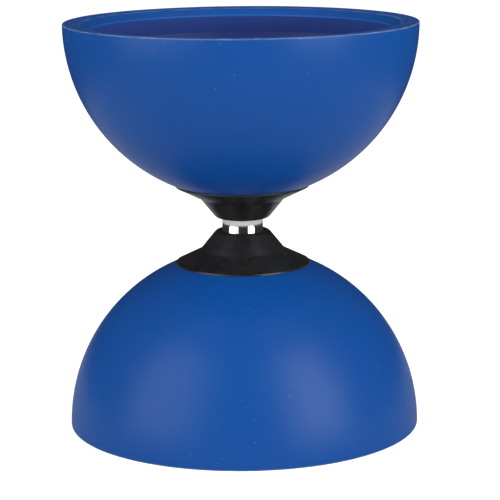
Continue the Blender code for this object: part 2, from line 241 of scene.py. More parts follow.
class Graph(Nodes):
    """The node tree of one material, with the coordinates and patterns that the finishes share."""

    def __init__(self, name: str) -> None:
        """Starts a material with one Principled shader.

        Args:
            name: The material's name.
        """
        self.material = bpy.data.materials.new(name)
        self.material.use_nodes = True
        super().__init__(self.material.node_tree)
        self.shader = self.tree.nodes["Principled BSDF"]
        self.place = self.add("ShaderNodeTexCoord", {}, {}).outputs["Object"]
        split = self.add("ShaderNodeSeparateXYZ", {}, {"Vector": self.place})
        self.x, self.y, self.z = (Value(self, output) for output in split.outputs)

    def mixed(self, amount: Number, first: object, second: object) -> bpy.types.NodeSocket:
        """Mixes two colours.

        Args:
            amount: How much of the second colour there is, from 0 to 1.
            first: A colour or a colour socket.
            second: A colour or a colour socket.

        Returns:
            The mixed colour's socket.
        """
        settings = {"data_type": "RGBA", "blend_type": "MIX", "clamp_factor": True}
        inputs = {"Factor_Float": amount, "A_Color": first, "B_Color": second}
        return next(s for s in self.add("ShaderNodeMix", settings, inputs).outputs if s.type == "RGBA")

    def vector(self, x: Number, y: Number, z: Number) -> bpy.types.NodeSocket:
        """Puts three numbers together as one vector.

        Args:
            x: The first number.
            y: The second.
            z: The third.

        Returns:
            The vector's socket.
        """
        return self.add("ShaderNodeCombineXYZ", {}, {"X": x, "Y": y, "Z": z}).outputs[0]

    def noise(self, scale: float, detail: float = 2.0, rough: float = 0.5, at: object = None) -> Value:
        """Cloudy noise between about 0.2 and 0.8.

        Args:
            scale: Clouds per metre.
            detail: How many finer layers there are.
            rough: How strong the finer layers are.
            at: Where it is read, which is the object's own coordinates if left out.

        Returns:
            The noise.
        """
        inputs = {"Vector": at or self.place, "Scale": scale, "Detail": detail, "Roughness": rough}
        return Value(self, self.add("ShaderNodeTexNoise", {}, inputs).outputs[0])

    def specks(self, spacing: float, size: float, share: float, at: object = None) -> Value:
        """Small round specks, scattered unevenly.

        Args:
            spacing: The mean distance between places for a speck, in metres.
            size: The largest speck's radius over the spacing.
            share: The share of the places that hold a speck.
            at: Where it is read, which is the object's own coordinates if left out.

        Returns:
            1 on a speck and 0 elsewhere.
        """
        inputs = {"Vector": at or self.place, "Scale": 1 / spacing, "Randomness": 1.0}
        cells = self.add("ShaderNodeTexVoronoi", {"feature": "F1"}, inputs)
        distance = Value(self, cells.outputs["Distance"])
        pick = self.add("ShaderNodeSeparateColor", {}, {"Color": cells.outputs["Color"]})
        chosen = Value(self, pick.outputs[0]).from_to(1 - share, 1 - share * 0.9)
        reach = Value(self, pick.outputs[1]) * (size * 0.7) + size * 0.3
        return (distance / reach).from_to(1.0, 0.6) * chosen

    def radius(self) -> Value:
        """Distance from the axle line."""
        return (self.x * self.x + self.y * self.y) ** 0.5

    def around(self) -> Value:
        """Angle about the axle line from the front, in radians."""
        return self.x.maths("ARCTAN2", self.x, self.y * -1.0)

    def bump(self, height: Value, depth: float, strength: float = 1.0, under: object = None) -> object:
        """A bump.

        Args:
            height: The relief, from 0 to 1.
            depth: How deep the relief is, in metres.
            strength: How much of it shows.
            under: Another bump that this one adds to.

        Returns:
            The normal socket.
        """
        inputs = {"Height": height, "Distance": depth, "Strength": strength}
        if under is not None:
            inputs["Normal"] = under
        return self.add("ShaderNodeBump", {}, inputs).outputs[0]

    def dress(self, **sockets: object) -> bpy.types.Material:
        """Feeds the Principled shader.

        Args:
            sockets: What feeds each of its sockets, with _ for the spaces in a name.

        Returns:
            The finished material.
        """
        for name, value in sockets.items():
            self.feed(self.shader.inputs[name.replace("_", " ")], value)
        return self.material


# ---------------------------------------------------------------- finishes


@dataclass(frozen=True)
class CupRubber:
    """Satin moulded rubber with a fine grain, a little dust, a rubbed rim, and painted light, shade and
    highlights.

    Depth is measured from the bowl's rim towards its seat, and radius from the axle line.
    """

    colour: Colour = (0.0030, 0.0605, 0.266)
    deep: Colour = (0.0045, 0.0515, 0.234)
    # Painted light and shade in the hollow: a lighter blue under the lip, where the undercut lies in shadow,
    # and a darker blue deeper down, where the wall is lit.
    painted_light_under_lip: Colour = (0.046, 0.088, 0.350)
    bowl: Colour = (0.0170, 0.033, 0.165)
    # A painted highlight along the rounded inner lip.
    painted_lip_highlight: Colour = (0.006, 0.105, 0.430)
    # Pale chalk for the rubbed rim, also used for a painted highlight along the step edge.
    chalk_and_highlight: Colour = (0.20, 0.26, 0.38)
    dust: Colour = (0.42, 0.44, 0.48)
    soil: Colour = (0.006, 0.016, 0.060)
    roughness: float = 0.34
    specular: float = 0.18
    wall: float = 4.0 * MM
    lip: float = 51.4 * MM
    step: float = 54.2 * MM
    lip_depth: tuple[float, float] = (2.7 * MM, 3.0 * MM)
    undercut: tuple[float, float] = (9.1 * MM, 8.9 * MM)
    face_depth: tuple[float, float] = (0.5 * MM, 0.2 * MM)
    cutter_pitch: float = 0.55 * MM

    def inside(self, radius: Value, depth: Value) -> Value:
        """Tells the hollow's surface from the outside.

        Args:
            radius: Distance from the axle line.
            depth: Distance from the rim.

        Returns:
            1 inside the bowl and 0 outside it.
        """
        reach = (radius * radius + depth * depth) ** 0.5
        return reach.from_to(CUP_RADIUS - self.wall * 0.4, CUP_RADIUS - self.wall * 0.6)

    def rubber(self, graph: Graph, radius: Value, depth: Value, clouds: Value) -> bpy.types.NodeSocket:
        """Colours the clean rubber: mottled outside, with painted light under the lip and painted shade
        deeper in the hollow, and a painted highlight along the inner lip.

        Args:
            graph: The material's nodes.
            radius: Distance from the axle line.
            depth: Distance from the rim.
            clouds: Broad noise.

        Returns:
            The colour.
        """
        blotches = graph.noise(140.0, 3.0, 0.6)
        tone = (clouds - 0.5) * 0.5 + (blotches - 0.5) * 0.35 + 0.35
        colour = graph.mixed(tone.held(), self.colour, self.deep)
        # Painted light under the lip and painted shade deeper in the bowl.
        painted_light_and_shade = graph.mixed(depth.from_to(*self.undercut), self.bowl, self.painted_light_under_lip)
        hollow = self.inside(radius, depth) * depth.from_to(*self.lip_depth)
        colour = graph.mixed(hollow * (clouds * 0.3 + 0.75), colour, painted_light_and_shade)
        # Painted highlight: a bright blue line along the rounded inner lip.
        painted_lip_highlight = abs(radius - self.lip).from_to(0.40 * MM, 0.20 * MM) * depth.from_to(3.2 * MM, 3.0 * MM)
        return graph.mixed(painted_lip_highlight * 0.65, colour, self.painted_lip_highlight)

    def scuffed_and_highlit(
        self, graph: Graph, colour: bpy.types.NodeSocket, radius: Value, depth: Value, streaks: Value
    ) -> tuple[bpy.types.NodeSocket, Value]:
        """Whitens the rim where it has been knocked and rubbed, and paints a highlight along the step edge.

        Args:
            graph: The material's nodes.
            colour: The clean rubber's colour.
            radius: Distance from the axle line.
            depth: Distance from the rim.
            streaks: Noise drawn out around the axle line.

        Returns:
            The colour, and how much the outer edge is rubbed.
        """
        edge = ((CUP_RADIUS - radius) ** 2.0 + depth * depth) ** 0.5
        rubbed = edge.from_to(0.50 * MM, 0.22 * MM) * (streaks.from_to(0.30, 0.70) * 0.65 + 0.35)
        step_line = abs(radius - self.step).from_to(0.30 * MM, 0.12 * MM) * depth.from_to(0.9 * MM, 0.6 * MM)
        worn_face = depth.from_to(*self.face_depth) * streaks.from_to(0.40, 0.75) * 0.18
        # A painted highlight along the rounded step edge, broken up by the streaks; the rubbed outer edge and
        # the worn face are real wear.
        painted_step_highlight = step_line * streaks.from_to(0.35, 0.65) * 0.40
        colour = graph.mixed((rubbed * 0.50 + worn_face + painted_step_highlight).held(), colour, self.chalk_and_highlight)
        nicks = graph.noise(1500.0, 2.0, 0.5)
        chipped = edge.from_to(0.8 * MM, 0.1 * MM) * nicks.from_to(0.62, 0.68)
        return graph.mixed(chipped * 0.5, colour, self.dust), rubbed

    def dusted(self, graph: Graph, colour: bpy.types.NodeSocket) -> bpy.types.NodeSocket:
        """Scatters pale dust and a few dark specks over the rubber.

        Args:
            graph: The material's nodes.
            colour: The rubber's colour.

        Returns:
            The colour with its specks.
        """
        fine_dust = graph.specks(1.9 * MM, 0.11, 0.60)
        coarse_dust = graph.specks(5.0 * MM, 0.06, 0.70)
        colour = graph.mixed((fine_dust * 0.28 + coarse_dust * 0.38).held(), colour, self.dust)
        return graph.mixed(graph.specks(7.0 * MM, 0.050, 0.50) * 0.75, colour, self.soil)

    def material(self) -> bpy.types.Material:
        """Builds the material.

        Returns:
            The material.
        """
        graph = Graph("cup_rubber")
        radius = graph.radius()
        depth = graph.z.least(HEIGHT - graph.z)
        face = depth.from_to(*self.face_depth)
        clouds = graph.noise(26.0, 3.0, 0.55)
        satin = graph.noise(1300.0, 2.0, 0.7)
        streaks = graph.noise(2000.0, 3.0, 0.6, at=graph.vector(graph.around() * 0.005, depth, radius))
        clean = self.rubber(graph, radius, depth, clouds)
        colour, rubbed = self.scuffed_and_highlit(graph, clean, radius, depth, streaks)
        unevenness = (clouds - 0.5) * 0.10 + (satin - 0.5) * 0.24
        rough = self.roughness + unevenness + rubbed * 0.18 + self.inside(radius, depth) * 0.12
        cutter_rings = ((radius * (math.tau / self.cutter_pitch)).sine() * 0.5 + 0.5) * face
        relief = graph.bump(graph.noise(2600.0, 3.0, 0.65), 0.045 * MM, 0.55)
        relief = graph.bump(cutter_rings + streaks * face, 0.010 * MM, 0.6, under=relief)
        relief = graph.bump(clouds, 0.35 * MM, 0.25, under=relief)
        relief = graph.bump(satin, 0.06 * MM, 0.30, under=relief)
        return graph.dress(
            Base_Color=self.dusted(graph, colour),
            Roughness=rough.held(),
            Specular_IOR_Level=self.specular,
            Normal=relief,
        )


@dataclass(frozen=True)
class BlackMoulding:
    """Black moulded plastic with a fine spark-eroded grain and faint handling marks."""

    name: str
    colour: Colour = (0.0088, 0.0088, 0.0094)
    faded: Colour = (0.016, 0.016, 0.017)
    dust: Colour = (0.20, 0.20, 0.21)
    roughness: float = 0.29
    specular: float = 0.42
    grain: float = 0.014 * MM

    def material(self) -> bpy.types.Material:
        """Builds the material.

        Returns:
            The material.
        """
        graph = Graph(self.name)
        radius = graph.radius()
        swirl = graph.vector(graph.around() * 0.02, graph.z, radius)
        haze = graph.noise(90.0, 3.0, 0.6)
        scratches = graph.noise(1400.0, 3.0, 0.6, at=swirl).from_to(0.62, 0.74)
        grain = graph.noise(3800.0, 2.0, 0.6)
        colour = graph.mixed(haze.from_to(0.35, 0.75), self.colour, self.faded)
        colour = graph.mixed(scratches * 0.22, colour, self.dust)
        colour = graph.mixed(graph.specks(2.6 * MM, 0.06, 0.12) * 0.35, colour, self.dust)
        rough = self.roughness + (haze - 0.5) * 0.16 + (grain - 0.5) * 0.12
        relief = graph.bump(grain, self.grain, 0.5)
        relief = graph.bump(scratches, 0.006 * MM, 0.5, under=relief)
        return graph.dress(
            Base_Color=colour,
            Roughness=rough.held(),
            Specular_IOR_Level=self.specular,
            Normal=relief,
        )


@dataclass(frozen=True)
class TurnedMetal:
    """Metal turned on a lathe: fine rings about the axle line, smears and a few marks."""

    name: str
    colour: Colour
    dull: Colour
    roughness: float
    ring_spacing: float = 0.09 * MM
    ring_depth: float = 0.0015 * MM
    smear: float = 0.08

    def material(self) -> bpy.types.Material:
        """Builds the material.

        Returns:
            The material.
        """
        graph = Graph(self.name)
        radius = graph.radius()
        along = graph.vector(radius / self.ring_spacing, graph.z / self.ring_spacing, graph.around() * 0.25)
        lines = graph.noise(1.0, 2.0, 0.7, at=along)
        smears = graph.noise(420.0, 3.0, 0.6)
        marks = graph.specks(0.9 * MM, 0.08, 0.10)
        colour = graph.mixed((smears.from_to(0.42, 0.75) * 0.5 + marks * 0.4).held(), self.colour, self.dull)
        rough = self.roughness + (smears - 0.5) * self.smear * 2 + (lines - 0.5) * self.smear + marks * 0.15
        relief = graph.bump(lines, self.ring_depth, 0.6)
        return graph.dress(Base_Color=colour, Metallic=1.0, Roughness=rough.held(), Normal=relief)


@dataclass(frozen=True)
class ZincPlate:
    """Bright zinc plate: pale metal with a faint warm bloom, tool marks and dull spots."""

    name: str
    colour: Colour = (0.62, 0.63, 0.62)
    bloom: Colour = (0.58, 0.55, 0.46)
    stain: Colour = (0.24, 0.23, 0.21)
    roughness: float = 0.30

    def material(self) -> bpy.types.Material:
        """Builds the material.

        Returns:
            The material.
        """
        graph = Graph(self.name)
        bloom = graph.noise(300.0, 3.0, 0.6)
        crystals = graph.noise(5200.0, 2.0, 0.6)
        stains = graph.noise(900.0, 4.0, 0.65).from_to(0.60, 0.78)
        colour = graph.mixed(bloom.from_to(0.4, 0.8), self.colour, self.bloom)
        colour = graph.mixed(stains * 0.45, colour, self.stain)
        rough = self.roughness + (bloom - 0.5) * 0.2 + (crystals - 0.5) * 0.15 + stains * 0.2
        relief = graph.bump(crystals, 0.006 * MM, 0.5)
        return graph.dress(Base_Color=colour, Metallic=1.0, Roughness=rough.held(), Normal=relief)


@dataclass(frozen=True)
class LockingNylon:
    """Pale nylon locking ring, a little dusty."""

    colour: Colour = (0.62, 0.64, 0.66)
    shade: Colour = (0.42, 0.44, 0.46)

    def material(self) -> bpy.types.Material:
        """Builds the material.

        Returns:
            The material.
        """
        graph = Graph("insert_nylon")
        clouds = graph.noise(700.0, 3.0, 0.6)
        grain = graph.noise(5000.0, 2.0, 0.5)
        colour = graph.mixed(clouds.from_to(0.35, 0.75), self.colour, self.shade)
        relief = graph.bump(grain, 0.01 * MM, 0.5)
        rough = 0.45 + (clouds - 0.5) * 0.2
        return graph.dress(Base_Color=colour, Roughness=rough.held(), Normal=relief)


# ---------------------------------------------------------------- modelling


class Side(Enum):
    """The two sides of the toy, which are each other turned over."""

    UPPER = "upper"
    LOWER = "lower"

    def node(self, name: str) -> str:
        """The full name of one of this side's pieces."""
        return f"{self.value}_{name}"


@dataclass(frozen=True)
class Rounding:
    """A turned edge that is rounded over."""

    radius: float
    height: float
    size: float
    segments: int = 3

    def holds(self, vertex: bmesh.types.BMVert) -> bool:
        """Tells whether a vertex is on the edge.

        Args:
            vertex: A vertex of the turned shape.

        Returns:
            Whether its radius and its height are the edge's.
        """
        off_radius = abs(math.hypot(vertex.co.x, vertex.co.y) - self.radius)
        return off_radius < ON_EDGE and abs(vertex.co.z - self.height) < ON_EDGE


class Turning:
    """A profile drawn point by point in the upright plane, then turned about the axle line."""

    def __init__(self, radius: float, height: float) -> None:
        """Starts the profile.

        Args:
            radius: The first point's distance from the axle line.
            height: Its height above the middle of the axle.
        """
        self.shape = bmesh.new()
        self.start = self.shape.verts.new((radius, 0.0, height))
        self.end = self.start

    def to(self, radius: float, height: float) -> "Turning":
        """Draws a straight line to a point.

        Args:
            radius: The point's distance from the axle line.
            height: Its height above the middle of the axle.

        Returns:
            The same turning.
        """
        point = self.shape.verts.new((radius, 0.0, height))
        self.shape.edges.new((self.end, point))
        self.end = point
        return self

    def arc(self, radius: float, height: float, degrees: float, steps: int) -> "Turning":
        """Draws an arc on from the last point.

        Args:
            radius: The arc centre's distance from the axle line.
            height: The centre's height above the middle of the axle.
            degrees: How far it turns. Positive goes from outwards to down.
            steps: The number of straight pieces.

        Returns:
            The same turning.
        """
        spun = bmesh.ops.spin(
            self.shape,
            geom=[self.end],
            cent=(radius, 0.0, height),
            axis=(0.0, 1.0, 0.0),
            angle=math.radians(degrees),
            steps=steps,
        )
        self.end = next(item for item in spun["geom_last"] if isinstance(item, bmesh.types.BMVert))
        return self

    def turned(self, steps: int, roundings: Sequence[Rounding] = ()) -> bmesh.types.BMesh:
        """Closes the profile into a loop and turns it all the way round.

        Args:
            steps: The number of pieces round the axle line.
            roundings: The turned edges that are rounded over.

        Returns:
            The solid, about the middle of the axle.
        """
        self.shape.edges.new((self.end, self.start))
        geometry = list(self.shape.verts) + list(self.shape.edges)
        bmesh.ops.spin(
            self.shape,
            geom=geometry,
            cent=(0.0, 0.0, 0.0),
            axis=(0.0, 0.0, 1.0),
            angle=math.tau,
            steps=steps,
            use_merge=True,
        )
        bmesh.ops.remove_doubles(self.shape, verts=self.shape.verts, dist=SAME_POINT)
        bmesh.ops.recalc_face_normals(self.shape, faces=self.shape.faces)
        for rounding in roundings:
            self.round_over(rounding)
        return self.shape

    def round_over(self, rounding: Rounding) -> None:
        """Bevels one turned edge.

        Args:
            rounding: Where the edge is, and how far it is rounded.
        """
        ring = [edge for edge in self.shape.edges if all(rounding.holds(vertex) for vertex in edge.verts)]
        bmesh.ops.bevel(
            self.shape,
            geom=ring,
            offset=rounding.size,
            offset_type="OFFSET",
            segments=rounding.segments,
            profile=0.5,
            affect="EDGES",
            material=-1,
        )


def turned_ring(
    inner: float, outer: float, low: float, high: float, steps: int = 96, edge: float = 0.0
) -> bmesh.types.BMesh:
    """A plain turned ring.

    Args:
        inner: The bore's radius.
        outer: The outside radius.
        low: The lower face's height above the middle of the axle.
        high: The upper face's height.
        steps: The number of pieces round it.
        edge: The rounding of its four edges, or 0 for none.

    Returns:
        The ring.
    """
    turning = Turning(inner, low).to(outer, low).to(outer, high).to(inner, high)
    corners = [(radius, height) for radius in (inner, outer) for height in (low, high)]
    roundings = [Rounding(radius, height, edge, 2) for radius, height in corners] if edge else []
    return turning.turned(steps, roundings)


def cut_off(shape: bmesh.types.BMesh, point: Vector, outward: Vector) -> None:
    """Cuts off everything past a plane and closes the cut.

    Args:
        shape: The solid.
        point: A point of the plane.
        outward: The plane's normal, towards what is cut off.
    """
    cut = bmesh.ops.bisect_plane(
        shape,
        geom=list(shape.verts) + list(shape.edges) + list(shape.faces),
        dist=ON_PLANE,
        plane_co=point,
        plane_no=outward,
        clear_outer=True,
    )
    rim = [item for item in cut["geom_cut"] if isinstance(item, bmesh.types.BMEdge) and item.is_boundary]
    bmesh.ops.holes_fill(shape, edges=rim, sides=0)


def pierced(blank: bmesh.types.BMesh, drills: bmesh.types.BMesh) -> bmesh.types.BMesh:
    """Cuts one solid out of another.

    Args:
        blank: The solid that is cut. It is used up.
        drills: What is taken away. It is used up.

    Returns:
        What is left of the blank.
    """
    helpers = []
    for name, shape in (("blank", blank), ("drills", drills)):
        mesh = bpy.data.meshes.new(name)
        shape.to_mesh(mesh)
        shape.free()
        helper = bpy.data.objects.new(name, mesh)
        bpy.context.scene.collection.objects.link(helper)
        helpers.append(helper)
    cut = helpers[0].modifiers.new("drilled", "BOOLEAN")
    cut.object = helpers[1]
    cut.operation = "DIFFERENCE"
    left = bmesh.new()
    left.from_mesh(helpers[0].evaluated_get(bpy.context.evaluated_depsgraph_get()).to_mesh())
    for helper in helpers:
        bpy.data.objects.remove(helper, do_unlink=True)
    return left


def reach_of(node: str) -> float:
    """Reads a turned node's largest radius from the solid model."""
    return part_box(node)[1].x


def span_of(node: str) -> tuple[float, float]:
    """Reads where a node starts and ends along the axle, measured from the axle's middle."""
    low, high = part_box(node)
    return low.z - MIDDLE, high.z - MIDDLE


@dataclass(frozen=True)
class Making:
    """What a finished piece is called, what it rides on and what it stands for."""

    name: str
    body: str
    nodes: tuple[str, ...]
    slot: str


def finish_piece(
    shape: bmesh.types.BMesh,
    making: Making,
    material: bpy.types.Material,
    side: Side = Side.UPPER,
    sharp: float = 30.0,
) -> bpy.types.Object:
    """Turns a shape about the middle of the axle into a finished piece in its place.

    Args:
        shape: The shape, as it is on the upper side.
        making: The piece's name, body, nodes and slot.
        material: Its material.
        side: The side it belongs to.
        sharp: The angle past which an edge stays sharp, in degrees.

    Returns:
        The piece.
    """
    if side is Side.LOWER:
        bmesh.ops.rotate(shape, verts=shape.verts, cent=(0, 0, 0), matrix=Matrix.Rotation(math.pi, 3, "X"))
    bmesh.ops.translate(shape, verts=shape.verts, vec=(0, 0, MIDDLE))
    bmesh.ops.recalc_face_normals(shape, faces=shape.faces)
    mesh = bpy.data.meshes.new(making.name)
    shape.to_mesh(mesh)
    shape.free()
    mesh.shade_smooth()
    mesh.set_sharp_from_angle(angle=math.radians(sharp))
    mesh.materials.append(material)
    piece = bpy.data.objects.new(making.name, mesh)
    bpy.context.scene.collection.objects.link(piece)
    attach(piece, making.body)
    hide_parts(*making.nodes)
    LOG.info("%s: %d faces, rides on %s", making.name, len(mesh.polygons), making.body)
    return piece


# ---------------------------------------------------------------- sub-assemblies


@dataclass
class Cup:
    """A moulded bowl: hemispherical outside, with a flat rim, an undercut lip inside, and a flat seat."""

    side: Side
    wall: float = 4.0 * MM
    rim_face: float = 5.8 * MM
    lip_width: float = 2.9 * MM
    lip_depth: float = 2.8 * MM
    undercut: float = 9.0 * MM
    step_radius: float = 57.6 * MM
    step_drop: float = 0.12 * MM
    rim_rounding: float = 0.35 * MM
    seat_radius: float = 16.5 * MM
    hole_radius: float = 9.55 * MM
    steps: int = 192
    arc_steps: int = 56

    def build(self, material: bpy.types.Material) -> bpy.types.Object:
        """Builds the bowl.

        Args:
            material: The bowl's material.

        Returns:
            The bowl.
        """
        rim = HEIGHT / 2
        inner = CUP_RADIUS - self.wall
        hole_angle = math.degrees(math.asin(self.hole_radius / CUP_RADIUS))
        face_edge = CUP_RADIUS - self.rim_face
        turning = Turning(self.hole_radius, rim - math.sqrt(CUP_RADIUS**2 - self.hole_radius**2))
        turning.arc(0.0, rim, hole_angle - 90.0, self.arc_steps)
        turning.to(self.step_radius, rim).to(self.step_radius - self.step_drop, rim - self.step_drop)
        turning.to(face_edge, rim - self.step_drop).to(face_edge - self.lip_width, rim - self.lip_depth)
        start = math.degrees(math.asin(self.undercut / inner))
        turning.to(math.sqrt(inner**2 - self.undercut**2), rim - self.undercut)
        seat_angle = math.degrees(math.asin(self.seat_radius / inner))
        turning.arc(0.0, rim, 90.0 - start - seat_angle, self.arc_steps // 2)
        turning.to(self.hole_radius, rim - math.sqrt(inner**2 - self.seat_radius**2))
        roundings = [
            Rounding(CUP_RADIUS, rim, self.rim_rounding, 4),
            Rounding(face_edge, rim - self.step_drop, 2 * self.rim_rounding, 4),
            Rounding(face_edge - self.lip_width, rim - self.lip_depth, self.rim_rounding, 3),
        ]
        shape = turning.turned(self.steps, roundings)
        name = self.side.node("cup")
        making = Making(f"{name}_bowl", "spinning_body", (name,), "cup_rubber")
        return finish_piece(shape, making, material, self.side, sharp=40.0)


@dataclass
class Hub:
    """The black moulding under a bowl: barrel, wide flange, cone, and an end face round the ring."""

    side: Side
    face_height: float = 2.2 * MM
    face_width: float = 0.45 * MM
    corner_width: float = 1.6 * MM
    corner_depth: float = 0.78 * MM
    corner_turn: float = 51.0
    corner_steps: int = 6
    ridge_radius: float = 14.5 * MM
    ridge_height: float = 9.0 * MM
    flange_radius: float = 22.9 * MM
    flange_edge: float = 0.55 * MM
    under_bowl: float = 0.04 * MM
    counterbore: float = 7.6 * MM
    floor_height: float = 5.0 * MM
    pocket_radius: float = 6.05 * MM
    pocket_height: float = 6.0 * MM
    bore: float = 4.3 * MM
    barrel_radius: float = 9.5 * MM
    ridge_rounding: float = 0.45 * MM
    flange_rounding: float = 0.16 * MM
    face_rounding: float = 0.10 * MM
    steps: int = 160
    arc_steps: int = 14

    def build(self, material: bpy.types.Material) -> bpy.types.Object:
        """Builds the hub.

        Args:
            material: The hub's material.

        Returns:
            The hub.
        """
        rim = HEIGHT / 2
        high = span_of(Side.UPPER.node("hub"))[1]
        under = CUP_RADIUS + self.under_bowl
        corner = self.counterbore + self.face_width
        turning = Turning(self.counterbore, self.face_height).to(corner, self.face_height)
        full = math.radians(self.corner_turn)
        for step in range(1, self.corner_steps + 1):
            turn = full * step / self.corner_steps
            across = math.sin(turn) / math.sin(full)
            rise = (1 - math.cos(turn)) / (1 - math.cos(full))
            turning.to(corner + self.corner_width * across, self.face_height + self.corner_depth * rise)
        turning.to(self.ridge_radius, self.ridge_height)
        flange_top = rim - math.sqrt(under**2 - self.flange_radius**2)
        turning.to(self.flange_radius, flange_top - self.flange_edge).to(self.flange_radius, flange_top)
        sweep = math.degrees(math.asin(self.flange_radius / under) - math.asin(self.barrel_radius / under))
        turning.arc(0.0, rim, sweep, self.arc_steps)
        turning.to(self.barrel_radius, high).to(self.bore, high).to(self.bore, self.pocket_height)
        turning.to(self.pocket_radius, self.pocket_height).to(self.pocket_radius, self.floor_height)
        turning.to(self.counterbore, self.floor_height)
        roundings = [
            Rounding(self.ridge_radius, self.ridge_height, self.ridge_rounding, 4),
            Rounding(self.flange_radius, flange_top - self.flange_edge, self.flange_rounding, 3),
            Rounding(self.counterbore, self.face_height, self.face_rounding, 2),
        ]
        shape = turning.turned(self.steps, roundings)
        name = self.side.node("hub")
        making = Making(f"{name}_moulding", "spinning_body", (name,), "hub_nylon")
        return finish_piece(shape, making, material, self.side)


@dataclass
class Fastening:
    """What clamps one side: flanged bush, clamp disc, washer, and lock nut with its nylon ring."""

    side: Side
    bush_wall_radius: float = 4.25 * MM
    bush_nose: float = 3.8 * MM
    bush_flange: tuple[float, float] = (4.96 * MM, 5.96 * MM)
    disc_chamfer: float = 0.8 * MM
    disc_recess: tuple[float, float] = (9.2 * MM, 0.5 * MM)
    disc_bore: float = 4.3 * MM
    stud_bore: float = 3.05 * MM
    washer_bore: float = 3.25 * MM
    nut_flat: float = 5.0 * MM
    nut_hex_height: float = 4.4 * MM
    nut_collar: float = 4.7 * MM
    nut_lip: tuple[float, float] = (3.5 * MM, 0.3 * MM)
    nut_pocket: tuple[float, float] = (4.05 * MM, 1.33 * MM)
    bush_rounding: float = 0.08 * MM
    disc_roundings: tuple[float, float] = (0.2 * MM, 0.1 * MM)
    washer_rounding: float = 0.18 * MM
    nut_roundings: tuple[float, float] = (0.45 * MM, 0.25 * MM)
    insert_rounding: float = 0.05 * MM
    steps: int = 96
    insert_steps: int = 64

    def bush(self, material: bpy.types.Material) -> bpy.types.Object:
        """Builds the steel bush that the clamping force runs through.

        Args:
            material: The bush's material.

        Returns:
            The bush.
        """
        name = self.side.node("hub_bush")
        low, high = span_of(Side.UPPER.node("hub_bush"))
        start, end = self.bush_flange
        flange = reach_of(name)
        turning = Turning(self.stud_bore, low).to(self.bush_nose, low).to(self.bush_nose, start)
        turning.to(flange, start).to(flange, end).to(self.bush_wall_radius, end)
        turning.to(self.bush_wall_radius, high).to(self.stud_bore, high)
        shape = turning.turned(self.steps, [Rounding(flange, end, self.bush_rounding, 2)])
        making = Making(f"{name}_turned", "spinning_body", (name,), "bush_steel")
        return finish_piece(shape, making, material, self.side)

    def disc(self, material: bpy.types.Material) -> bpy.types.Object:
        """Builds the black disc that spreads the clamping force over the bowl's seat.

        Args:
            material: The disc's material.

        Returns:
            The disc.
        """
        name = self.side.node("clamp_disc")
        low, high = span_of(Side.UPPER.node("clamp_disc"))
        radius, depth = self.disc_recess
        outer = reach_of(name)
        turning = Turning(self.disc_bore, low).to(outer, low).to(outer, high - self.disc_chamfer)
        turning.to(outer - self.disc_chamfer, high).to(radius, high).to(radius, high - depth)
        turning.to(self.disc_bore, high - depth)
        outside, inside = self.disc_roundings
        roundings = [
            Rounding(outer, high - self.disc_chamfer, outside),
            Rounding(outer - self.disc_chamfer, high, outside),
            Rounding(radius, high, inside, 2),
        ]
        making = Making(f"{name}_moulding", "spinning_body", (name,), "disc_nylon")
        return finish_piece(turning.turned(self.steps, roundings), making, material, self.side)

    def washer(self, material: bpy.types.Material) -> bpy.types.Object:
        """Builds the washer under the nut, with edges softened by tumbling.

        Args:
            material: The washer's material.

        Returns:
            The washer.
        """
        name = self.side.node("load_washer")
        low, high = span_of(Side.UPPER.node("load_washer"))
        shape = turned_ring(self.washer_bore, reach_of(name), low, high, self.steps, self.washer_rounding)
        making = Making(f"{name}_plated", "spinning_body", (name,), "washer_zinc")
        return finish_piece(shape, making, material, self.side)

    def nut(self, material: bpy.types.Material) -> bpy.types.Object:
        """Builds the lock nut: a turned blank whose six flats are cut off, with its ends left coned.

        Args:
            material: The nut's material.

        Returns:
            The nut.
        """
        name = self.side.node("lock_nut")
        low, high = span_of(Side.UPPER.node("lock_nut"))
        corner = self.nut_flat / math.cos(math.radians(30))
        cone = (corner - self.nut_flat) * math.tan(math.radians(30))
        shoulder = low + self.nut_hex_height
        lip, lip_height = self.nut_lip
        pocket, pocket_depth = self.nut_pocket
        pocket_top = high - lip_height
        turning = Turning(self.stud_bore, low).to(self.nut_flat, low).to(corner, low + cone)
        turning.to(corner, shoulder - cone).to(self.nut_flat, shoulder).to(self.nut_collar, shoulder)
        turning.to(self.nut_collar, high).to(lip, high).to(lip, pocket_top).to(pocket, pocket_top)
        turning.to(pocket, pocket_top - pocket_depth).to(self.stud_bore, pocket_top - pocket_depth)
        crown, foot = self.nut_roundings
        roundings = [Rounding(self.nut_collar, high, crown, 5), Rounding(self.nut_collar, shoulder, foot, 4)]
        shape = turning.turned(self.steps, roundings)
        for flat in range(6):
            outward = Vector((math.sin(flat * math.pi / 3), math.cos(flat * math.pi / 3), 0.0))
            cut_off(shape, outward * self.nut_flat, outward)
        making = Making(f"{name}_plated", "spinning_body", (name,), "nut_zinc")
        return finish_piece(shape, making, material, self.side)

    def insert(self, material: bpy.types.Material) -> bpy.types.Object:
        """Builds the nylon ring that grips the thread.

        Args:
            material: The ring's material.

        Returns:
            The ring.
        """
        name = self.side.node("nut_insert")
        low, high = span_of(Side.UPPER.node("nut_insert"))
        outer = reach_of(name)
        shape = turned_ring(self.stud_bore, outer, low, high, self.insert_steps, self.insert_rounding)
        making = Making(f"{name}_ring", "spinning_body", (name,), "insert_nylon")
        return finish_piece(shape, making, material, self.side)


